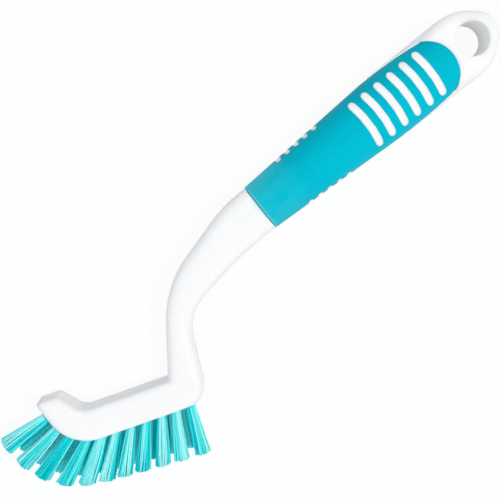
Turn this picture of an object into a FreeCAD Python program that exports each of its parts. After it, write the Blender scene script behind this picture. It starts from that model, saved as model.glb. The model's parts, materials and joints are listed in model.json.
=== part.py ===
"""Grout brush: a one-piece moulded body (hooked head, bent neck, handle), an overmoulded soft grip and
two staggered rows of bristle tufts, each folded over a wire anchor at the bottom of its hole.

Millimetres. The brush lies on its side: +Z is up, across the brush, and XY is its plane of symmetry.
It is drawn in a handle frame, with x along the handle axis towards the hanging hole, y away from the
bristles and the origin on the axis at the front edge of the grip. The finished solids are moved so that
the origin is the bottom centre of the whole brush's box.
"""

import FreeCAD, Part
import math
import os

Vector = FreeCAD.Vector

# Body: the neck and the head, a bar of constant width, more rounded along the neck than along the head
BODY_WIDTH = 16.0
NECK_EDGE_RADIUS = 4.0
HEAD_EDGE_RADIUS = 1.6
NECK_HALF_HEIGHT = 9.2
NECK_REACH = 65.0
NECK_DROP = 42.6
NECK_BACK_NEAR_SHARES = (0.166, 1.0)
NECK_BACK_FAR_SHARES = (0.725, -0.02)
NECK_BACK_NEAR_RADIUS = 55.0
NECK_BACK_FAR_RADIUS = 40.0
NECK_FRONT_NEAR_SHARES = (0.29, -1.03)
NECK_FRONT_FAR_SHARES = (0.718, -0.335)
NECK_FRONT_NEAR_RADIUS = 120.0
NECK_FRONT_FAR_RADIUS = 18.0

# Head: its own frame has u along the bristle face from heel to toe and v away from the bristles
HEAD_TILT = 19.5
HEAD_LENGTH = 57.0
HEAD_HEIGHT = 11.5
HEAD_ROOT = 7.8
ROOT_RADIUS = 1.5
HEEL_BULGE = 4.5
HEEL_RISE = 2.6
HEEL_RADIUS = 9.0
TOE_ANGLE = 72.0
TOE_RADIUS = 16.6
NOSE_HEIGHT = 20.1
NOSE_LENGTH = 7.8
NOSE_SLOPE = 50.0
NOSE_ROUNDING = 0.6
VALLEY_RADIUS = 6.0

# Handle: a side outline given width, from the neck's height to its own and round a sloped end
HANDLE_LENGTH = 112.0
HANDLE_HALF_HEIGHT = 12.8
HANDLE_HALF_WIDTH = 8.2
HANDLE_EDGE_RADIUS = 3.8
HANDLE_TAIL = 6.0
RISE_LENGTH = 58.0
RISE_RADIUS = 14.0
SHOULDER_RADIUS = 22.0
END_SLOPE = 40.0
TIP_RADIUS = 9.0

# Hanging hole, and the most of its ring's wall that the ring's edges may take
HOLE_RADIUS = 6.5
HOLE_TO_END = 11.5
HOLE_CHAMFER = 0.25
RING_EDGE_SHARE = 0.76
RING_CHAMFER_SHARE = 0.08

# Grip: soft overmould, proud of the neck at its mouth and wider than the handle, between two white spines
GRIP_HALF_WIDTH = 9.2
GRIP_ROUNDING = 7.0
GRIP_THICKNESS = 1.9
GRIP_PROUD = 0.3
GRIP_TO_HOLE = 3.0
GRIP_GAP = 0.3
TONGUE_MARGIN = 0.1
SPINE_LENGTH = 29.0
SPINE_PROUD = 0.35
SPINE_TO_TONGUE = 7.0
SPINE_HALF_WIDTH = 6.4
SPINE_TIP_HALF_WIDTH = 2.2

# Easing of the white end's edges down to the grip's rounding at the tongue: flat cuts at angles off the back
EASE_TO_TONGUE = 8.0
EASE_LENGTH = 10.0
EASE_PROUD = 0.1
EASE_ANGLES = (25.0, 45.0, 65.0)

# Slots through the grip, each filled by a rib of the core
RIB_RECESS = 0.1
SIDE_SLOT_COUNT = 6
SIDE_SLOT_PITCH = 5.98
SIDE_SLOT_TO_TONGUE = 11.3
SIDE_SLOT_HALF_LENGTH = 8.5
SIDE_SLOT_WIDTH = 2.95
SIDE_SLOT_BOW = 0.8
EDGE_SLOT_COUNT = 5
EDGE_SLOT_FIRST = 16.4
EDGE_SLOT_PITCH = 4.43
EDGE_SLOT_HALF_LENGTH = 4.7
EDGE_SLOT_WIDTH = 2.3
SIDE_SLOT_SIDES = 3
SIDE_SLOT_END_SIDES = 4
EDGE_SLOT_END_SIDES = 3

# Tufts and their anchors
TUFT_LEANS = (5.0, 12.0, 18.0, 23.0, 27.0, 31.0, 37.0, 46.0, 55.0, 64.0, 74.0)
TUFT_WEB = 2.15
TUFT_HEEL_MARGIN = 2.6
TUFT_TOE_MARGIN = 6.0
TUFT_SIDE_MARGIN = 3.8
TUFT_SPLAY = 9.0
TUFT_LENGTH = 19.5
TUFT_ROOT_RADIUS = 1.9
TUFT_TIP_RADIUS = 3.15
TUFT_COLLAR = 1.6
TUFT_SIDES = 6
TUFT_HOLE_DEPTH = 7.0
ANCHOR_HEIGHT = 1.6
ANCHOR_THICKNESS = 0.35
ANCHOR_FLOOR = 0.5

# Places that follow from these sizes
HOLE_X = HANDLE_LENGTH - HOLE_TO_END
GRIP_LENGTH = HOLE_X - HOLE_RADIUS - GRIP_TO_HOLE
GRIP_HALF_HEIGHT = HANDLE_HALF_HEIGHT - SPINE_PROUD
TONGUE_RADIUS = HANDLE_HALF_HEIGHT + TONGUE_MARGIN

# Overrun of every cutting shape past what it cuts
OVERRUN = 5.0

# The join that keeps an inset outline's corners sharp
SHARP_JOIN = 2

# The most of a side that a rounding may take, where the side's other corner is sharp or rounded too
SIDE_TO_SHARP_SHARE = 0.95
SIDE_TO_ROUND_SHARE = 0.47


def head_point(u, v):
    """A point of the head frame in the handle frame."""
    tilt = math.radians(HEAD_TILT)
    x = -NECK_REACH - u * math.cos(tilt) + v * math.sin(tilt)
    y = -NECK_DROP + u * math.sin(tilt) + v * math.cos(tilt)
    return Vector(x, y, 0)


def rounded_outline(corners):
    """Edges of a closed outline through (point, radius) corners, and the corner that each edge belongs to."""
    count = len(corners)
    arcs = []
    for i, (point, radius) in enumerate(corners):
        if radius == 0:
            arcs.append((point, None, point))
            continue
        sides = []
        rooms = []
        for neighbour, neighbour_radius in (corners[i - 1], corners[(i + 1) % count]):
            side = neighbour - point
            share = SIDE_TO_SHARP_SHARE if neighbour_radius == 0 else SIDE_TO_ROUND_SHARE
            rooms.append(side.Length * share)
            sides.append(side.normalize())
        half = sides[0].getAngle(sides[1]) / 2
        reach = min([radius / math.tan(half)] + rooms)
        inward = (sides[0] + sides[1]).normalize()
        middle = point + inward * (reach / math.cos(half) - reach * math.tan(half))
        arcs.append((point + sides[0] * reach, middle, point + sides[1] * reach))
    edges = []
    owners = []
    for i, (first, middle, last) in enumerate(arcs):
        if middle is not None:
            edges.append(Part.Arc(first, middle, last).toShape())
            owners.append(i)
        edges.append(Part.LineSegment(last, arcs[(i + 1) % count][0]).toShape())
        owners.append(i)
    return edges, owners


def prism(edges, bottom, top):
    """Solid between two heights over a closed outline in the XY plane."""
    face = Part.Face(Part.Wire(Part.__sortEdges__(edges)))
    face.translate(Vector(0, 0, bottom))
    return face.extrude(Vector(0, 0, top - bottom))


def edge_middle(edge):
    """The point halfway along an edge."""
    return edge.valueAt((edge.FirstParameter + edge.LastParameter) / 2)


def nearest_edge(solid, place):
    """The number, from 1, and the edge of a solid whose middle is nearest to a place."""
    return min(enumerate(solid.Edges, 1), key=lambda item: (edge_middle(item[1]) - place).Length)


def rounded_solid(solid, roundings):
    """A solid with edges rounded, given as (edge number, radius at its start, radius at its end)."""
    document = FreeCAD.newDocument("rounding")
    sharp = document.addObject("Part::Feature", "sharp")
    sharp.Shape = solid
    rounding = document.addObject("Part::Fillet", "rounding")
    rounding.Base = sharp
    rounding.Edges = roundings
    document.recompute()
    shape = rounding.Shape.copy()
    FreeCAD.closeDocument(document.Name)
    return shape


def neck_and_head():
    """The neck and hooked head: a side outline given width, with all but the bristle face's edges rounded."""
    root = head_point(HEAD_ROOT, HEAD_HEIGHT)
    toe = math.radians(TOE_ANGLE)
    nose_foot = HEAD_LENGTH - NOSE_LENGTH - (NOSE_HEIGHT - HEAD_HEIGHT) / math.tan(math.radians(NOSE_SLOPE))
    back = [
        (Vector(-GRIP_GAP, NECK_HALF_HEIGHT, 0), 0),
        (Vector(-NECK_REACH * NECK_BACK_NEAR_SHARES[0], NECK_HALF_HEIGHT * NECK_BACK_NEAR_SHARES[1], 0),
         NECK_BACK_NEAR_RADIUS),
        (Vector(-NECK_REACH * NECK_BACK_FAR_SHARES[0], NECK_DROP * NECK_BACK_FAR_SHARES[1], 0),
         NECK_BACK_FAR_RADIUS),
        (root, ROOT_RADIUS),
        (head_point(nose_foot, HEAD_HEIGHT), VALLEY_RADIUS),
        (head_point(HEAD_LENGTH - NOSE_LENGTH, NOSE_HEIGHT), HEAD_EDGE_RADIUS + NOSE_ROUNDING),
        (head_point(HEAD_LENGTH, NOSE_HEIGHT), 0),
    ]
    face = [
        (head_point(HEAD_LENGTH - NOSE_HEIGHT / math.tan(toe), 0), TOE_RADIUS),
        (head_point(0, 0), 0),
    ]
    front = [
        (head_point(-HEEL_BULGE, HEEL_RISE), HEEL_RADIUS),
        (Vector(-NECK_REACH * NECK_FRONT_FAR_SHARES[0], NECK_DROP * NECK_FRONT_FAR_SHARES[1], 0),
         NECK_FRONT_FAR_RADIUS),
        (Vector(-NECK_REACH * NECK_FRONT_NEAR_SHARES[0], NECK_HALF_HEIGHT * NECK_FRONT_NEAR_SHARES[1], 0),
         NECK_FRONT_NEAR_RADIUS),
        (Vector(-GRIP_GAP, -NECK_HALF_HEIGHT, 0), 0),
    ]
    half = BODY_WIDTH / 2
    edges, owners = rounded_outline(back + face + front)
    solid = prism(edges, -half, half)
    root_corner = back.index((root, ROOT_RADIUS))
    face_corners = range(len(back) - 1, len(back) + len(face) - 1)
    end_corner = len(back + face + front) - 1
    roundings = []
    for edge, owner in zip(edges, owners):
        if owner in face_corners or owner == end_corner:
            continue
        on_head = root_corner <= owner < face_corners[0]
        radii = [HEAD_EDGE_RADIUS if on_head else NECK_EDGE_RADIUS] * 2
        if owner == root_corner and isinstance(edge.Curve, Part.Circle):
            radii = [NECK_EDGE_RADIUS, HEAD_EDGE_RADIUS]
        for z in (-half, half):
            lifted = edge.translated(Vector(0, 0, z))
            number, found = nearest_edge(solid, edge_middle(lifted))
            ahead = (found.firstVertex().Point - lifted.firstVertex().Point).Length < edge.Length / 2
            roundings.append((number, *(radii if ahead else radii[::-1])))
    return rounded_solid(solid, roundings)


def handle_outline(mouth_half, half_height):
    """A side outline of the handle, a closed wire, by its half heights at the mouth and past the rise."""
    slope = math.radians(END_SLOPE)
    tip_half = TIP_RADIUS * math.tan((math.pi / 2 - slope) / 2)
    shoulder = HANDLE_LENGTH - (half_height - tip_half) / math.tan(slope)
    tail_half = mouth_half - (half_height - mouth_half) * HANDLE_TAIL / RISE_LENGTH
    back = [
        (Vector(-HANDLE_TAIL, tail_half, 0), 0),
        (Vector(RISE_LENGTH, half_height, 0), RISE_RADIUS),
        (Vector(shoulder, half_height, 0), SHOULDER_RADIUS),
        (Vector(HANDLE_LENGTH, tip_half, 0), TIP_RADIUS),
    ]
    belly = [(Vector(point.x, -point.y, 0), radius) for point, radius in reversed(back)]
    edges = rounded_outline(back + belly)[0]
    return Part.Wire(Part.__sortEdges__(edges))


def bar_of(outline, half_width):
    """An outline of the handle given width, and the long edges of this bar."""
    bar = prism(outline.Edges, -half_width, half_width)
    tail = bar.BoundBox.XMin + HANDLE_TAIL
    edges = [edge for edge in bar.Edges
             if edge.BoundBox.XMax > tail and math.isclose(abs(edge_middle(edge).z), half_width)]
    return bar, edges


def grip_bar(depth):
    """The bar at a depth below the grip's outside (above it if negative), with its long edges."""
    outline = handle_outline(NECK_HALF_HEIGHT + GRIP_PROUD, GRIP_HALF_HEIGHT)
    if depth != 0:
        outline = outline.makeOffset2D(-depth, SHARP_JOIN)
    return bar_of(outline, GRIP_HALF_WIDTH - depth)


def grip_form(depth):
    """The rounded form at a depth below the grip's outside (above it if negative)."""
    bar, edges = grip_bar(depth)
    return bar.makeFillet(GRIP_ROUNDING - depth, edges)


def grip_core():
    """The handle's core, chamfered so that the grip is as thick over its edges as elsewhere."""
    bar, edges = grip_bar(GRIP_THICKNESS)
    return bar.makeChamfer((2 - math.sqrt(2)) * (GRIP_ROUNDING - GRIP_THICKNESS), edges)


def grip_zone(front):
    """What the grip covers in side view: from its front edge to a round tongue."""
    straight = GRIP_LENGTH - TONGUE_RADIUS
    corners = [Vector(front, TONGUE_RADIUS, 0), Vector(straight, TONGUE_RADIUS, 0),
               Vector(straight, -TONGUE_RADIUS, 0), Vector(front, -TONGUE_RADIUS, 0)]
    edges = [
        Part.LineSegment(corners[0], corners[1]).toShape(),
        Part.Arc(corners[1], Vector(GRIP_LENGTH, 0, 0), corners[2]).toShape(),
        Part.LineSegment(corners[2], corners[3]).toShape(),
        Part.LineSegment(corners[3], corners[0]).toShape(),
    ]
    reach = GRIP_HALF_WIDTH + OVERRUN
    return prism(edges, -reach, reach)


def round_corners(centre, radius, start, turn, sides):
    """Corners of a slot's round stretch about a centre, from a start angle through a turn, in flat sides."""
    angles = [start + turn * i / sides for i in range(sides + 1)]
    return [centre + Vector(radius * math.cos(angle), radius * math.sin(angle), 0) for angle in angles]


def side_slot(x):
    """One bowed slot, right across the handle from side to side."""
    half_width = SIDE_SLOT_WIDTH / 2
    bow_radius = (SIDE_SLOT_HALF_LENGTH ** 2 + SIDE_SLOT_BOW ** 2) / (2 * SIDE_SLOT_BOW)
    bow = math.asin(SIDE_SLOT_HALF_LENGTH / bow_radius)
    middle = Vector(x + SIDE_SLOT_BOW - bow_radius, 0, 0)
    upper = middle + Vector(bow_radius * math.cos(bow), SIDE_SLOT_HALF_LENGTH, 0)
    lower = Vector(upper.x, -upper.y, 0)
    corners = round_corners(middle, bow_radius + half_width, -bow, 2 * bow, SIDE_SLOT_SIDES)
    corners += round_corners(upper, half_width, bow, math.pi, SIDE_SLOT_END_SIDES)[1:]
    corners += round_corners(middle, bow_radius - half_width, bow, -2 * bow, SIDE_SLOT_SIDES)[1:]
    corners += round_corners(lower, half_width, math.pi - bow, math.pi, SIDE_SLOT_END_SIDES)[1:]
    reach = GRIP_HALF_WIDTH + OVERRUN
    return prism(Part.makePolygon(corners).Edges, -reach, reach)


def stadium_through(first, first_half, last, last_half):
    """Form with two round ends, given as (x, z) centres and half widths, right through from back to belly."""
    ends = [Vector(x, -z, 0) for x, z in (first, last)]
    along = ends[1] - ends[0]
    heading = math.atan2(along.y, along.x)
    corners = round_corners(ends[1], last_half, heading - math.pi / 2, math.pi, EDGE_SLOT_END_SIDES)
    corners += round_corners(ends[0], first_half, heading + math.pi / 2, math.pi, EDGE_SLOT_END_SIDES)
    reach = HANDLE_HALF_HEIGHT + OVERRUN
    slot = prism(Part.makePolygon(corners + corners[:1]).Edges, -reach, reach)
    slot.rotate(Vector(0, 0, 0), Vector(1, 0, 0), -90)
    return slot


def grip_slots():
    """All slots of the grip: bowed ones through its sides, straight ones through its back and belly."""
    last = GRIP_LENGTH - SIDE_SLOT_TO_TONGUE
    slots = [side_slot(last - SIDE_SLOT_PITCH * i) for i in range(SIDE_SLOT_COUNT)]
    for i in range(EDGE_SLOT_COUNT):
        x = EDGE_SLOT_FIRST + EDGE_SLOT_PITCH * i
        half = EDGE_SLOT_WIDTH / 2
        slots.append(stadium_through((x, -EDGE_SLOT_HALF_LENGTH), half, (x, EDGE_SLOT_HALF_LENGTH), half))
    return slots


def soft_grip(core, slots, spine):
    """The overmoulded sleeve: what the core, its ribs and its spine leave of the grip's form."""
    return grip_form(0).common(grip_zone(0)).cut([core, spine] + slots)


def corner_reach(half_height, half_width, radius, turn):
    """How far a rounded bar's section reaches from its middle, at an angle off its back."""
    return (half_height - radius) * math.cos(turn) + (half_width - radius) * math.sin(turn) + radius


def easing(edge_radius):
    """Blocks that take the white end's long edges down to the grip's rounding at the tongue."""
    size = 2 * HANDLE_LENGTH
    blocks = []
    for angle in EASE_ANGLES:
        turn = math.radians(angle)
        low = corner_reach(GRIP_HALF_HEIGHT, GRIP_HALF_WIDTH, GRIP_ROUNDING, turn) + EASE_PROUD
        high = corner_reach(HANDLE_HALF_HEIGHT, HANDLE_HALF_WIDTH, edge_radius, turn)
        for y, z in ((1, 1), (1, -1), (-1, 1), (-1, -1)):
            outward = Vector(0, y * math.cos(turn), z * math.sin(turn))
            place = Vector(GRIP_LENGTH - EASE_TO_TONGUE, 0, 0) + outward * low
            block = Part.makeBox(size, size, size, Vector(-size / 2, -size / 2, 0))
            normal = outward * EASE_LENGTH - Vector(high - low, 0, 0)
            block.Placement = FreeCAD.Placement(place, FreeCAD.Rotation(Vector(0, 0, 1), normal))
            blocks.append(block)
    return blocks


def handle_with_ribs(core, slots, spine):
    """The handle: its core under the grip, the ribs that fill the grip's slots, and the end with its hole."""
    ring = HOLE_TO_END - HOLE_RADIUS
    bar, edges = bar_of(handle_outline(NECK_HALF_HEIGHT, HANDLE_HALF_HEIGHT), HANDLE_HALF_WIDTH)
    edge_radius = min(HANDLE_EDGE_RADIUS, ring * RING_EDGE_SHARE)
    bar = bar.makeFillet(edge_radius, edges)
    rib_form = grip_form(RIB_RECESS)
    ribs = [slot.common(rib_form) for slot in slots]
    end = bar.cut([grip_zone(-HANDLE_TAIL - OVERRUN)] + easing(edge_radius))
    handle = core.fuse([end, grip_form(-SPINE_PROUD).common(spine)] + ribs)
    reach = HANDLE_HALF_WIDTH + OVERRUN
    handle = handle.cut(Part.makeCylinder(HOLE_RADIUS, 2 * reach, Vector(HOLE_X, 0, -reach)))
    rims = [edge for edge in handle.Edges
            if isinstance(edge.Curve, Part.Circle) and math.isclose(edge.Curve.Radius, HOLE_RADIUS)]
    return handle.makeChamfer(min(HOLE_CHAMFER, ring * RING_CHAMFER_SHARE), rims)


def lean_at(share):
    """A tuft's lean towards the toe, in radians, at a share of the way from the heel's tuft to the toe's."""
    place = share * (len(TUFT_LEANS) - 1)
    i = min(int(place), len(TUFT_LEANS) - 2)
    return math.radians(TUFT_LEANS[i] + (place - i) * (TUFT_LEANS[i + 1] - TUFT_LEANS[i]))


def tuft_places():
    """Each tuft's name, its place on the bristle face, its direction and the face's normal there."""
    toe = math.radians(TOE_ANGLE)
    toe_start = HEAD_LENGTH - NOSE_HEIGHT / math.tan(toe) - TOE_RADIUS * math.tan(toe / 2)
    toe_end = toe_start + TOE_RADIUS * toe
    face_length = toe_end + NOSE_HEIGHT / math.sin(toe) - TOE_RADIUS * math.tan(toe / 2)
    pitch = 2 * TUFT_ROOT_RADIUS + TUFT_WEB
    steps = int((face_length - TUFT_HEEL_MARGIN - TUFT_TOE_MARGIN) / pitch)
    splay = math.radians(TUFT_SPLAY)
    origin = head_point(0, 0)
    u_axis = head_point(1, 0) - origin
    v_axis = head_point(0, 1) - origin
    places = []
    for row, side, count, shift in (("front", 1, steps + 1, 0), ("back", -1, steps, 1)):
        for i in range(count):
            step = i + shift / 2
            distance = TUFT_HEEL_MARGIN + pitch * step
            bend = min(max(0, (distance - toe_start) / TOE_RADIUS), toe)
            past = max(0, distance - toe_end)
            u = min(distance, toe_start) + TOE_RADIUS * math.sin(bend) + past * math.cos(toe)
            v = TOE_RADIUS * (1 - math.cos(bend)) + past * math.sin(toe)
            lean = lean_at(step / steps)
            outward = (u_axis * math.sin(lean) - v_axis * math.cos(lean)) * math.cos(splay)
            outward += Vector(0, 0, side * math.sin(splay))
            normal = u_axis * math.sin(bend) - v_axis * math.cos(bend)
            base = head_point(u, v) + Vector(0, 0, side * (BODY_WIDTH / 2 - TUFT_SIDE_MARGIN))
            places.append((f"{row}_tuft_{i + 1:02d}", base, outward, normal))
    return places


def placed(shape, base, outward):
    """Move a shape from the origin to a tuft's base, with its z along the tuft and its x along the head."""
    across = Vector(0, 0, 1)
    along = across.cross(outward).normalize()
    side = outward.cross(along)
    matrix = FreeCAD.Matrix(along.x, side.x, outward.x, base.x,
                            along.y, side.y, outward.y, base.y,
                            along.z, side.z, outward.z, base.z,
                            0, 0, 0, 1)
    moved = shape.copy()
    moved.Placement = FreeCAD.Placement(matrix)
    return moved


def bundle(levels):
    """Solid with flat sides through rings of (radius, height)."""
    rings = []
    for radius, height in levels:
        angles = [math.pi * (2 * i + 1) / TUFT_SIDES for i in range(TUFT_SIDES)]
        rings.append([Vector(radius * math.cos(angle), radius * math.sin(angle), height) for angle in angles])
    outlines = [rings[0], rings[-1]]
    for lower, upper in zip(rings, rings[1:]):
        for i in range(TUFT_SIDES):
            outlines.append([lower[i - 1], lower[i], upper[i], upper[i - 1]])
    faces = [Part.Face(Part.makePolygon(points + points[:1])) for points in outlines]
    return Part.Solid(Part.Shell(faces))


def tuft_hole():
    """The hole of a tuft, from its floor to above the bristle face."""
    return bundle([(TUFT_ROOT_RADIUS, -TUFT_HOLE_DEPTH), (TUFT_ROOT_RADIUS, OVERRUN)])


def anchor():
    """Flat wire anchor across the foot of a tuft's hole, from wall to wall."""
    half_length = TUFT_ROOT_RADIUS * math.cos(math.pi / TUFT_SIDES)
    corner = Vector(-ANCHOR_THICKNESS / 2, -half_length, ANCHOR_FLOOR - TUFT_HOLE_DEPTH)
    return Part.makeBox(ANCHOR_THICKNESS, 2 * half_length, ANCHOR_HEIGHT, corner)


def tuft(base, outward, normal):
    """A bundle of bristles: its root fills the hole, and it flares above a collar to its trimmed end."""
    end = TUFT_LENGTH + OVERRUN
    flare = (TUFT_TIP_RADIUS - TUFT_ROOT_RADIUS) / (TUFT_LENGTH - TUFT_COLLAR)
    bristles = bundle([(TUFT_ROOT_RADIUS, -TUFT_HOLE_DEPTH), (TUFT_ROOT_RADIUS, TUFT_COLLAR),
                       (TUFT_ROOT_RADIUS + flare * (end - TUFT_COLLAR), end)])
    bristles = placed(bristles.cut(anchor()), base, outward)
    reach = TUFT_TIP_RADIUS + OVERRUN
    trim = Part.makeBox(2 * reach, 2 * reach, 2 * reach, Vector(-reach, -reach, 0))
    trim.Placement = FreeCAD.Placement(base + outward * TUFT_LENGTH,
                                       FreeCAD.Rotation(Vector(0, 0, 1), outward + normal))
    return bristles.cut(trim)


def build():
    """Every piece of the brush by name, in the handle frame."""
    core = grip_core()
    slots = grip_slots()
    spine_tip = (GRIP_LENGTH - SPINE_LENGTH + SPINE_TIP_HALF_WIDTH, 0)
    spine_end = (GRIP_LENGTH - SPINE_TO_TONGUE, 0)
    spine = stadium_through(spine_tip, SPINE_TIP_HALF_WIDTH, spine_end, SPINE_HALF_WIDTH)
    places = tuft_places()
    anchors = [placed(anchor(), base, outward) for name, base, outward, normal in places]
    holes = [placed(tuft_hole(), base, outward) for name, base, outward, normal in places]
    body = neck_and_head().fuse(handle_with_ribs(core, slots, spine)).cut(holes)
    pieces = {"handle_body": body, "soft_grip": soft_grip(core, slots, spine)}
    for name, base, outward, normal in places:
        pieces[name] = tuft(base, outward, normal)
    pieces["tuft_anchors"] = Part.makeCompound(anchors)
    return pieces


# The origin goes to the bottom centre of the whole brush, and each piece to a file of its own
pieces = build()
box = Part.makeCompound(list(pieces.values())).optimalBoundingBox()
shift = Vector(-box.Center.x, -box.Center.y, -box.ZMin)
os.makedirs("parts", exist_ok=True)
for name, shape in pieces.items():
    shape.translate(shift)
    shape.exportStep(f"parts/{name}.step")
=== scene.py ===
"""Grout brush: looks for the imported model. Metres, in the model's own frame: the brush lies on its side."""

import json
import math
import random

import bpy
import numpy as np
from mathutils import Matrix, Vector


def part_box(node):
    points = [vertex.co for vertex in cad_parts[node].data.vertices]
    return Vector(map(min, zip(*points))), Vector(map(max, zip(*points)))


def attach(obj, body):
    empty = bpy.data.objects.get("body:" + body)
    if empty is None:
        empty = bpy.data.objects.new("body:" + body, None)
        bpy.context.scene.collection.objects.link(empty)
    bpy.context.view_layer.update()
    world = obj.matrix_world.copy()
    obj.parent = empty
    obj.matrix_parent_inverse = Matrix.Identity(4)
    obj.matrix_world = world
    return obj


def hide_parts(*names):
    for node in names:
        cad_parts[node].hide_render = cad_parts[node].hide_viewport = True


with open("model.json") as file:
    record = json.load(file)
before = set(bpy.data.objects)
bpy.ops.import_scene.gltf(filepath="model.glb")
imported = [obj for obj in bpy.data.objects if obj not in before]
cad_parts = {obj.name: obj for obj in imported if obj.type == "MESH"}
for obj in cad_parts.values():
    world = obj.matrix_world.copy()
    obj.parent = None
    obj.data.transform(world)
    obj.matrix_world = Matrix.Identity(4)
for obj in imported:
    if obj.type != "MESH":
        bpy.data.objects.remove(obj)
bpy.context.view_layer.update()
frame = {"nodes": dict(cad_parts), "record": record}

# Photograph, in pixels: its size, the focal length, the point straight below the camera and the grip's mouth
PICTURE_PIXELS = 500
FOCAL_PIXELS = 980.0
FOOT_PIXEL = (204.0, 164.0)
MOUTH_PIXEL = (260.0, 207.5)

# Camera: the picture's roll in degrees, the height over the brush's middle plane, the sensor in millimetres
PICTURE_ROLL = 38.7
CAMERA_HEIGHT = 0.372
SENSOR = 36.0
CLIP_START = 0.01

# Handle, from the frame: the hanging hole, the middle of the grip's mouth, the grip's length and half height
MILLIMETRES_PER_METRE = 1000
HOLE_MOUNT = frame["record"]["mounts"][0]
HOLE = Vector(HOLE_MOUNT["pos_m"])
HOLE_RADIUS = HOLE_MOUNT["dims"]["r_mm"] / MILLIMETRES_PER_METRE
GRIP_LOW, GRIP_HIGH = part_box("soft_grip")
MOUTH = Vector((GRIP_LOW.x, HOLE.y, HOLE.z))
GRIP_LENGTH = GRIP_HIGH.x - GRIP_LOW.x
GRIP_HALF_HEIGHT = (GRIP_HIGH.y - GRIP_LOW.y) / 2

# Head: its turn from the handle's line in degrees, its height, and a tuft on its straight part
HEAD_TILT = 19.5
HEAD_HEIGHT = 0.0115
HEAD_TUFT = "front_tuft_03"

# Tuft solids: the depth of their holes, the share of it that counts as the floor, and their free length
HOLE_DEPTH = 0.007
HOLE_FLOOR_SHARE = 0.05
TUFT_LENGTH = 0.0195

# Filaments: their count in a tuft, their mesh, and how they spread from the root to the tip
FILAMENT_COUNT = 72
FILAMENT_RADIUS = 0.00030
FILAMENT_SIDES = 6
FILAMENT_RINGS = 6
ROOT_BELOW_FACE = 0.0015
ROOT_RADIUS = 0.00140
TIP_RADIUS = 0.00275
FLARE_POWER = 1.1
NOSE_FLARE_SHARE = 0.22
NOSE_FLARE_POWER = 6
GOLDEN_ANGLE = math.pi * (3 - math.sqrt(5))

# How unevenly filaments lie: their turn in radians, tips, bow, and the jag and the dome of the tuft's end
TURN_JITTER = 0.2
TIP_WANDER = 0.00022
BOW = 0.0002
END_JAG = 0.0002
END_DOME = 0.0007
END_DOME_POWER = 4

# Tones of the filaments, from 0, dark, to 1, pale: the means along a row, made paler at its ends as painted
# light, and the spreads about them, whose pale clumps are partly painted highlights
MIDDLE_TONE = 0.63
ROW_END_TONE_GAIN = 0.10
CLUMP_COUNT = 20
CLUMP_TONE_SPREAD = 0.21
FILAMENT_TONE_SPREAD = 0.06
FIRST_SEED = 40

# Textures, in features per metre
PLASTIC_CLOUDS = 60.0
PLASTIC_GRAIN = 2600.0
RUBBER_CLOUDS = 45.0
RUBBER_PATCHES = 150.0
RUBBER_GRAIN = 3200.0
WIRE_STREAKS = 900.0
FLOOR_MOTTLE = 8.0

# Depth of the grain, and how far light goes into the body, the ring round the hole and the filaments
PLASTIC_GRAIN_DEPTH = 0.00008
RUBBER_GRAIN_DEPTH = 0.0001
BODY_GLOW = 0.0012
RING_GLOW = 0.0070
FILAMENT_GLOW = 0.0006

# Softened edges: the body's at the bristle face and the head's back, their fade at the grip, and the grip's
FACE_SOFTNESS = 0.0008
BACK_SOFTNESS = 0.0035
COVERED_SOFTNESS_SHARE = 0.01
COVER_FADE = 0.004
RUBBER_SOFTNESS = 0.00015
SOFTNESS_SAMPLES = 8

# Where the grip's painted shade, painted sheen, dust and painted highlight lie: shares of its half height
# from the middle, and of its length from the mouth
SHADE_UP_SHARES = (-0.2, 1.0)
CORNER_SHEEN_UP_SHARES = (0.5, 0.75)
CORNER_SHEEN_ALONG_SHARES = (0.08, 0.2)
DUST_AND_SHEEN_ALONG_SHARES = (0.0, 0.24)
MOUTH_HIGHLIGHT_ALONG_SHARES = (0.006, 0.012)

# How far the grip's tone goes over to its painted shade, painted sheen, dust with painted sheen and painted
# highlight, at most
SHADE_BLEND = 0.44
CORNER_SHEEN_BLEND = 0.8
DUST_AND_SHEEN_BLEND = 0.55
MOUTH_HIGHLIGHT_BLEND = 0.6

# Floor: its size, and how much of its shading the camera sees
FLOOR_SIZE = 6.0
SHADOW_SHARE = 0.07

# Light: the room, and two lamps that look at the origin
ROOM_COLOUR = (0.88, 0.94, 1.0, 1.0)
ROOM_STRENGTH = 0.58
KEY_PLACE = (1.18, -0.66, 2.9)
KEY_SIZE = 0.39
KEY_POWER = 45.0
KEY_COLOUR = (1.0, 0.955, 0.90)
FILL_PLACE = (-1.3, 0.25, 1.5)
FILL_SIZE = 0.25
FILL_POWER = 6.0
FILL_COLOUR = (1.0, 0.97, 0.93)


def new_material(name):
    """A node material, its node tree and its shader."""
    material = bpy.data.materials.new(name)
    material.use_nodes = True
    tree = material.node_tree
    return material, tree, tree.nodes["Principled BSDF"]


def object_place(tree):
    """The place of a point of the surface in the model's frame."""
    return tree.nodes.new("ShaderNodeTexCoord").outputs["Object"]


def split_place(tree, place):
    """A place's parts along the handle and up from the bristles."""
    node = tree.nodes.new("ShaderNodeSeparateXYZ")
    tree.links.new(place, node.inputs["Vector"])
    return node.outputs["X"], node.outputs["Y"]


def noise(tree, place, scale, detail, roughness=0.5):
    """A noise texture with a number of features per metre."""
    node = tree.nodes.new("ShaderNodeTexNoise")
    node.inputs["Scale"].default_value = scale
    node.inputs["Detail"].default_value = detail
    node.inputs["Roughness"].default_value = roughness
    tree.links.new(place, node.inputs["Vector"])
    return node.outputs["Fac"]


def ramp(tree, factor, stops):
    """A colour ramp through (place, colour) stops."""
    node = tree.nodes.new("ShaderNodeValToRGB")
    elements = node.color_ramp.elements
    while len(elements) < len(stops):
        elements.new(1.0)
    for element, (place, colour) in zip(elements, stops):
        element.position = place
        element.color = (*colour, 1.0)
    tree.links.new(factor, node.inputs["Fac"])
    return node.outputs["Color"]


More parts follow.
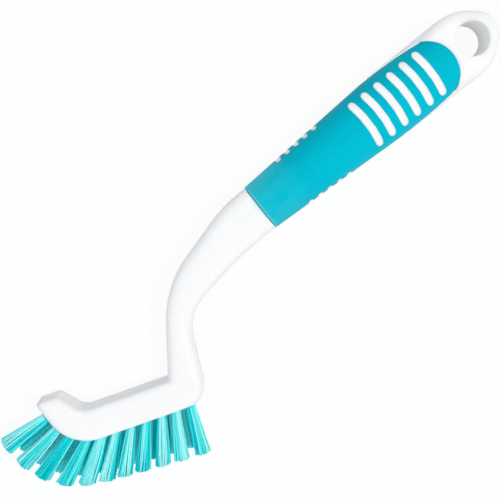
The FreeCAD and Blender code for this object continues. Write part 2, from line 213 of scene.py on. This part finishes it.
def spread(tree, value, target, source=(0.0, 1.0)):
    """A value mapped from the source's start and end to the target's."""
    node = tree.nodes.new("ShaderNodeMapRange")
    node.inputs["From Min"].default_value = source[0]
    node.inputs["From Max"].default_value = source[1]
    node.inputs["To Min"].default_value = target[0]
    node.inputs["To Max"].default_value = target[1]
    tree.links.new(value, node.inputs["Value"])
    return node.outputs["Result"]


def stretch(start, size, shares):
    """Places at shares of a size from a start."""
    return [start + size * share for share in shares]


def combine(tree, operation, first, second):
    """Two values combined by a maths operation."""
    node = tree.nodes.new("ShaderNodeMath")
    node.operation = operation
    tree.links.new(first, node.inputs[0])
    tree.links.new(second, node.inputs[1])
    return node.outputs["Value"]


def blend_to(tree, factor, colour, other):
    """A colour that goes over to another one by a factor."""
    node = tree.nodes.new("ShaderNodeMix")
    node.data_type = "RGBA"
    tree.links.new(factor, node.inputs["Factor"])
    tree.links.new(colour, node.inputs["A"])
    node.inputs["B"].default_value = (*other, 1.0)
    return node.outputs["Result"]


def soft_bump(tree, height, strength, depth):
    """A bump over softened edges: its normal, and the socket for the radius that softens them."""
    bevel = tree.nodes.new("ShaderNodeBevel")
    bevel.samples = SOFTNESS_SAMPLES
    bump = tree.nodes.new("ShaderNodeBump")
    bump.inputs["Strength"].default_value = strength
    bump.inputs["Distance"].default_value = depth
    tree.links.new(height, bump.inputs["Height"])
    tree.links.new(bevel.outputs["Normal"], bump.inputs["Normal"])
    return bump.outputs["Normal"], bevel.inputs["Radius"]


def body_softness(tree, place, along):
    """The radius of the body's softened edges, which grows from the bristle face up and ends at the grip."""
    tilt = math.radians(HEAD_TILT)
    head_up = Vector((math.sin(tilt), math.cos(tilt), 0))
    rise = tree.nodes.new("ShaderNodeVectorMath")
    rise.operation = "DOT_PRODUCT"
    rise.inputs[1].default_value = head_up
    tree.links.new(place, rise.inputs[0])
    face = tuft_of(HEAD_TUFT)[0].dot(head_up)
    softness = spread(tree, rise.outputs["Value"], (FACE_SOFTNESS, BACK_SOFTNESS), (face, face + HEAD_HEIGHT))
    bare = spread(tree, along, (1.0, COVERED_SOFTNESS_SHARE), (MOUTH.x - COVER_FADE, MOUTH.x))
    return combine(tree, "MULTIPLY", softness, bare)


def white_plastic():
    """Satin white moulded plastic with a faint grain, a little translucent, more so round the hole."""
    material, tree, shader = new_material("white_plastic")
    place = object_place(tree)
    along = split_place(tree, place)[0]
    clouds = noise(tree, place, PLASTIC_CLOUDS, detail=3.0)
    grain = noise(tree, place, PLASTIC_GRAIN, detail=2.0)
    ring = spread(tree, along, (0.0, 1.0), (HOLE.x - HOLE_RADIUS, HOLE.x))
    colour = ramp(tree, clouds, [(0.3, (0.925, 0.925, 0.932)), (0.7, (0.943, 0.942, 0.948))])
    normal, radius = soft_bump(tree, grain, strength=0.06, depth=PLASTIC_GRAIN_DEPTH)
    tree.links.new(body_softness(tree, place, along), radius)
    tree.links.new(normal, shader.inputs["Normal"])
    tree.links.new(colour, shader.inputs["Base Color"])
    tree.links.new(spread(tree, clouds, (0.42, 0.54)), shader.inputs["Roughness"])
    tree.links.new(spread(tree, ring, (0.50, 0.90)), shader.inputs["Subsurface Weight"])
    tree.links.new(spread(tree, ring, (BODY_GLOW, RING_GLOW)), shader.inputs["Subsurface Scale"])
    shader.inputs["Subsurface Radius"].default_value = (1.0, 0.97, 0.95)
    shader.inputs["IOR"].default_value = 1.49
    shader.inputs["Specular IOR Level"].default_value = 0.22
    return material


def soft_rubber():
    """Matt teal rubber with a fine grain, with painted shade towards the back, a painted sheen at the upper
    corner near its mouth, a painted highlight along the mouth's rim, and paler patches near its mouth that
    are partly dust and partly painted sheen.
    """
    material, tree, shader = new_material("soft_grip")
    place = object_place(tree)
    along, up = split_place(tree, place)
    clouds = noise(tree, place, RUBBER_CLOUDS, detail=4.0)
    patches = noise(tree, place, RUBBER_PATCHES, detail=4.0, roughness=0.65)
    grain = noise(tree, place, RUBBER_GRAIN, detail=2.0)
    colour = ramp(tree, clouds, [(0.3, (0.000, 0.482, 0.620)), (0.7, (0.000, 0.512, 0.652))])
    # Painted shade: the grip is darkened towards its back, where less light falls
    shade = spread(tree, up, (0.0, SHADE_BLEND), stretch(MOUTH.y, GRIP_HALF_HEIGHT, SHADE_UP_SHARES))
    colour = blend_to(tree, shade, colour, (0.000, 0.200, 0.270))
    # Paler patches near the mouth: partly dust, partly painted sheen
    near_mouth = spread(tree, along, (DUST_AND_SHEEN_BLEND, 0.0), stretch(MOUTH.x, GRIP_LENGTH, DUST_AND_SHEEN_ALONG_SHARES))
    dust_and_sheen = combine(tree, "MULTIPLY", near_mouth, spread(tree, patches, (0.0, 1.0), (0.35, 0.65)))
    colour = blend_to(tree, dust_and_sheen, colour, (0.055, 0.54, 0.64))
    # Painted sheen: the upper corner near the mouth is made paler, as a reflection on the rounded edge would
    # be
    sheen_up = spread(tree, up, (0.0, CORNER_SHEEN_BLEND), stretch(MOUTH.y, GRIP_HALF_HEIGHT, CORNER_SHEEN_UP_SHARES))
    sheen_along = spread(tree, along, (1.0, 0.0), stretch(MOUTH.x, GRIP_LENGTH, CORNER_SHEEN_ALONG_SHARES))
    corner = combine(tree, "MULTIPLY", sheen_up, sheen_along)
    colour = blend_to(tree, corner, colour, (0.06, 0.55, 0.66))
    # Painted highlight: a pale cyan line just behind the mouth's edge
    mouth_highlight = spread(tree, along, (MOUTH_HIGHLIGHT_BLEND, 0.0), stretch(MOUTH.x, GRIP_LENGTH, MOUTH_HIGHLIGHT_ALONG_SHARES))
    colour = blend_to(tree, mouth_highlight, colour, (0.10, 0.60, 0.70))
    normal, radius = soft_bump(tree, grain, strength=0.12, depth=RUBBER_GRAIN_DEPTH)
    radius.default_value = RUBBER_SOFTNESS
    tree.links.new(normal, shader.inputs["Normal"])
    tree.links.new(colour, shader.inputs["Base Color"])
    tree.links.new(spread(tree, patches, (0.52, 0.66)), shader.inputs["Roughness"])
    shader.inputs["Specular IOR Level"].default_value = 0.22
    shader.inputs["Specular Tint"].default_value = (0.05, 0.90, 1.0, 1.0)
    return material


def filament():
    """Translucent nylon filament: each has its own tone, and the pale tones are partly painted highlights."""
    material, tree, shader = new_material("bristles")
    tone = tree.nodes.new("ShaderNodeAttribute")
    tone.attribute_name = "tone"
    # The pale tones are partly painted highlights along the filaments and partly tone that differs at random
    colour = ramp(tree, tone.outputs["Fac"], [
        (0.00, (0.000, 0.460, 0.530)),
        (0.35, (0.000, 0.720, 0.780)),
        (0.65, (0.090, 0.880, 0.900)),
        (1.00, (0.420, 0.990, 0.990)),
    ])
    tree.links.new(colour, shader.inputs["Base Color"])
    shader.inputs["Roughness"].default_value = 0.40
    shader.inputs["IOR"].default_value = 1.53
    shader.inputs["Specular IOR Level"].default_value = 0.12
    shader.inputs["Specular Tint"].default_value = (0.25, 0.95, 1.0, 1.0)
    shader.inputs["Subsurface Weight"].default_value = 0.15
    shader.inputs["Subsurface Radius"].default_value = (0.5, 1.0, 1.0)
    shader.inputs["Subsurface Scale"].default_value = FILAMENT_GLOW
    return material


def anchor_wire():
    """Plain drawn flat wire."""
    material, tree, shader = new_material("anchor_wire")
    streaks = noise(tree, object_place(tree), WIRE_STREAKS, detail=4.0)
    colour = ramp(tree, streaks, [(0.3, (0.52, 0.52, 0.53)), (0.7, (0.66, 0.66, 0.66))])
    tree.links.new(colour, shader.inputs["Base Color"])
    tree.links.new(spread(tree, streaks, (0.28, 0.45)), shader.inputs["Roughness"])
    shader.inputs["Metallic"].default_value = 1.0
    return material


def dress(node, material):
    """Give a solid of the frame its material."""
    mesh = frame["nodes"][node].data
    mesh.materials.clear()
    mesh.materials.append(material)


def tuft_of(node):
    """A tuft solid's base on the bristle face, its direction and its end plane (a point and a normal)."""
    corners = np.array([v.co for v in frame["nodes"][node].data.vertices])
    centre = corners.mean(0)
    axis = np.linalg.svd(corners - centre)[2][0]
    along = (corners - centre) @ axis
    thick = np.linalg.norm(corners - centre - np.outer(along, axis), axis=1)
    # The free end is the thick one
    if thick[along > 0].max() < thick[along < 0].max():
        axis = -axis
        along = -along
    along -= along.min()
    hole_floor = corners[along < HOLE_DEPTH * HOLE_FLOOR_SHARE].mean(0)
    collar = corners[(along > HOLE_DEPTH) & (along < HOLE_DEPTH + TUFT_LENGTH / 2)].mean(0)
    axis = collar - hole_floor
    axis /= np.linalg.norm(axis)
    tips = corners[along > HOLE_DEPTH + TUFT_LENGTH / 2]
    end = tips.mean(0)
    # The end is flat, so its normal is the direction in which its corners spread least
    normal = np.linalg.svd(tips - end)[2][2]
    if normal @ axis < 0:
        normal = -normal
    return Vector(hole_floor + axis * HOLE_DEPTH), Vector(axis), Vector(end), Vector(normal)


def clump_tones(chance, mean):
    """Clumps of a tuft's section, each a spot in the unit disc and a tone."""
    clumps = []
    for _ in range(CLUMP_COUNT):
        radius = math.sqrt(chance.random())
        angle = chance.uniform(0, 2 * math.pi)
        spot = (radius * math.cos(angle), radius * math.sin(angle))
        # Pale clumps give streaks that are partly painted highlights
        clumps.append((spot, chance.gauss(mean, CLUMP_TONE_SPREAD)))
    return clumps


def tuft_corners(tuft, chance, tip_radius, tone_mean):
    """The corners of a tuft's filaments, each ring by ring from root to tip, and the tone of every corner."""
    base, axis, end, normal = tuft
    side = axis.cross(Vector((0, 0, 1))).normalized()
    other = axis.cross(side)
    turns = [2 * math.pi * i / FILAMENT_SIDES for i in range(FILAMENT_SIDES)]
    section = [(side * math.cos(turn) + other * math.sin(turn)) * FILAMENT_RADIUS for turn in turns]
    clumps = clump_tones(chance, tone_mean)
    first_turn = chance.uniform(0, 2 * math.pi)
    verts = []
    tones = []
    for k in range(FILAMENT_COUNT):
        # The spots lie as in a sunflower, so the section is filled evenly
        share = math.sqrt((k + 0.5) / FILAMENT_COUNT)
        turn = first_turn + k * GOLDEN_ANGLE + chance.uniform(-TURN_JITTER, TURN_JITTER)
        spot = (share * math.cos(turn), share * math.sin(turn))
        spoke = side * spot[0] + other * spot[1]
        drift = side * chance.gauss(0, TIP_WANDER) + other * chance.gauss(0, TIP_WANDER)
        bend = side * chance.gauss(0, BOW) + other * chance.gauss(0, BOW)
        tip = end + spoke * tip_radius + drift
        tip -= axis * ((tip - end).dot(normal) / axis.dot(normal))
        tip -= axis * (END_DOME * share ** END_DOME_POWER + abs(chance.gauss(0, END_JAG)))
        height = (tip - base).dot(axis)
        clump = min(clumps, key=lambda one: math.dist(one[0], spot))
        tone = clump[1] + chance.gauss(0, FILAMENT_TONE_SPREAD)
        tones += [min(max(tone, 0), 1)] * (FILAMENT_RINGS * FILAMENT_SIDES)
        for ring in range(FILAMENT_RINGS):
            step = ring / (FILAMENT_RINGS - 1)
            radius = ROOT_RADIUS + (tip_radius - ROOT_RADIUS) * step ** FLARE_POWER
            # The bow is full halfway and nothing at both ends
            middle = base + spoke * radius + drift * step + bend * (4 * step * (1 - step))
            middle += axis * (height * step - ROOT_BELOW_FACE * (1 - step))
            middle.z = max(middle.z, FILAMENT_RADIUS)
            verts += [middle + corner for corner in section]
    return verts, tones


def filament_faces(first):
    """The faces of a filament by the number of its first corner: its sides, its tip and its root."""
    faces = []
    for ring in range(FILAMENT_RINGS - 1):
        for i in range(FILAMENT_SIDES):
            a = first + ring * FILAMENT_SIDES + i
            b = first + ring * FILAMENT_SIDES + (i + 1) % FILAMENT_SIDES
            faces.append((a, b, b + FILAMENT_SIDES, a + FILAMENT_SIDES))
    last = first + (FILAMENT_RINGS - 1) * FILAMENT_SIDES
    faces.append(tuple(range(last, last + FILAMENT_SIDES)))
    faces.append(tuple(reversed(range(first, first + FILAMENT_SIDES))))
    return faces


def tuft_piece(node, material, seed, flare, tone_mean):
    """A tuft as separate filaments that leave the hole together, spread and end unevenly."""
    verts, tones = tuft_corners(tuft_of(node), random.Random(seed), TIP_RADIUS * flare, tone_mean)
    faces = []
    for first in range(0, len(verts), FILAMENT_RINGS * FILAMENT_SIDES):
        faces += filament_faces(first)
    mesh = bpy.data.meshes.new(node + "_filaments")
    mesh.from_pydata(verts, [], faces)
    mesh.attributes.new("tone", "FLOAT", "POINT").data.foreach_set("value", tones)
    # The sides have four corners and are smooth, and the cut ends are flat
    mesh.polygons.foreach_set("use_smooth", [len(face) == 4 for face in faces])
    mesh.materials.append(material)
    piece = bpy.data.objects.new(node + "_filaments", mesh)
    bpy.context.scene.collection.objects.link(piece)
    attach(piece, "root")
    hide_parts(node)


def background_rays(tree):
    """1 for the rays that show the white background: straight, reflected and transmitted ones."""
    path = tree.nodes.new("ShaderNodeLightPath")
    seen = path.outputs["Is Camera Ray"]
    for kind in ("Is Glossy Ray", "Is Transmission Ray"):
        seen = combine(tree, "MAXIMUM", seen, path.outputs[kind])
    return seen


def floor():
    """A pale floor that the camera sees as white, with the object's shadow on it."""
    half = FLOOR_SIZE / 2
    corners = [(-half, -half, 0), (half, -half, 0), (half, half, 0), (-half, half, 0)]
    mesh = bpy.data.meshes.new("floor")
    mesh.from_pydata(corners, [], [(0, 1, 2, 3)])
    material, tree, shader = new_material("floor")
    mottle = noise(tree, object_place(tree), FLOOR_MOTTLE, detail=2.0)
    colour = ramp(tree, mottle, [(0.3, (0.84, 0.84, 0.84)), (0.7, (0.86, 0.86, 0.86))])
    tree.links.new(colour, shader.inputs["Base Color"])
    shader.inputs["Roughness"].default_value = 0.9
    glow = tree.nodes.new("ShaderNodeEmission")
    mix = tree.nodes.new("ShaderNodeMixShader")
    tree.links.new(spread(tree, background_rays(tree), (0.0, 1 - SHADOW_SHARE)), mix.inputs["Fac"])
    tree.links.new(shader.outputs["BSDF"], mix.inputs[1])
    tree.links.new(glow.outputs["Emission"], mix.inputs[2])
    tree.links.new(mix.outputs["Shader"], tree.nodes["Material Output"].inputs["Surface"])
    mesh.materials.append(material)
    piece = bpy.data.objects.new("floor", mesh)
    bpy.context.scene.collection.objects.link(piece)


def lamp(name, place, size, power, colour):
    """A square soft light that looks at the origin."""
    data = bpy.data.lights.new(name, "AREA")
    data.shape = "SQUARE"
    data.size = size
    data.energy = power
    data.color = colour
    light = bpy.data.objects.new(name, data)
    light.location = place
    light.rotation_mode = "QUATERNION"
    light.rotation_quaternion = (-Vector(place)).to_track_quat("-Z", "Y")
    bpy.context.scene.collection.objects.link(light)


def studio():
    """A pale cool room, seen as white, with a key past the handle's end and a weak fill past the nose."""
    world = bpy.data.worlds.new("studio")
    world.use_nodes = True
    tree = world.node_tree
    room = tree.nodes["Background"]
    room.inputs["Color"].default_value = ROOM_COLOUR
    room.inputs["Strength"].default_value = ROOM_STRENGTH
    white = tree.nodes.new("ShaderNodeBackground")
    white.inputs["Color"].default_value = (1.0, 1.0, 1.0, 1.0)
    mix = tree.nodes.new("ShaderNodeMixShader")
    tree.links.new(background_rays(tree), mix.inputs["Fac"])
    tree.links.new(room.outputs["Background"], mix.inputs[1])
    tree.links.new(white.outputs["Background"], mix.inputs[2])
    tree.links.new(mix.outputs["Shader"], tree.nodes["World Output"].inputs["Surface"])
    bpy.context.scene.world = world
    lamp("key", KEY_PLACE, KEY_SIZE, KEY_POWER, KEY_COLOUR)
    lamp("fill", FILL_PLACE, FILL_SIZE, FILL_POWER, FILL_COLOUR)


def picture_ray(pixel):
    """The direction of a pixel of the photograph in the camera's own axes: right, down and ahead."""
    middle = PICTURE_PIXELS / 2
    return Vector((*((part - middle) / FOCAL_PIXELS for part in pixel), 1))


def camera():
    """The photograph's camera: it looks down on the brush from beyond its back, and the picture is rolled."""
    down_axis = picture_ray(FOOT_PIXEL).normalized()
    level = Vector((1, 0, 0))
    level = (level - down_axis * level.dot(down_axis)).normalized()
    upright = down_axis.cross(level)
    roll = math.radians(PICTURE_ROLL)
    x_seen = level * math.cos(roll) - upright * math.sin(roll)
    y_seen = -level * math.sin(roll) - upright * math.cos(roll)
    seen = Matrix((x_seen, y_seen, -down_axis)).transposed()
    ray = picture_ray(MOUTH_PIXEL)
    place = MOUTH - seen.transposed() @ (ray * (CAMERA_HEIGHT / ray.dot(down_axis)))
    right, down, ahead = seen
    data = bpy.data.cameras.new("camera")
    data.sensor_width = SENSOR
    data.lens = SENSOR * FOCAL_PIXELS / PICTURE_PIXELS
    data.clip_start = CLIP_START
    view = bpy.data.objects.new("camera", data)
    view.matrix_world = Matrix.Translation(place) @ Matrix((right, -down, -ahead)).transposed().to_4x4()
    bpy.context.scene.collection.objects.link(view)
    bpy.context.scene.camera = view


dress("handle_body", white_plastic())
dress("soft_grip", soft_rubber())
dress("tuft_anchors", anchor_wire())
bristle = filament()
seed = FIRST_SEED
for row in ("back", "front"):
    tufts = sorted(node for node in frame["nodes"] if node.startswith(row + "_tuft_"))
    for i, node in enumerate(tufts):
        toe = i / (len(tufts) - 1)
        flare = 1 + NOSE_FLARE_SHARE * toe ** NOSE_FLARE_POWER
        # Tufts are painted paler at both ends of a row, as painted light
        tone_mean = MIDDLE_TONE + ROW_END_TONE_GAIN * (2 * toe - 1) ** 2
        tuft_piece(node, bristle, seed, flare, tone_mean)
        seed += 1
floor()
studio()
camera()
bpy.context.scene.view_settings.view_transform = "Standard"
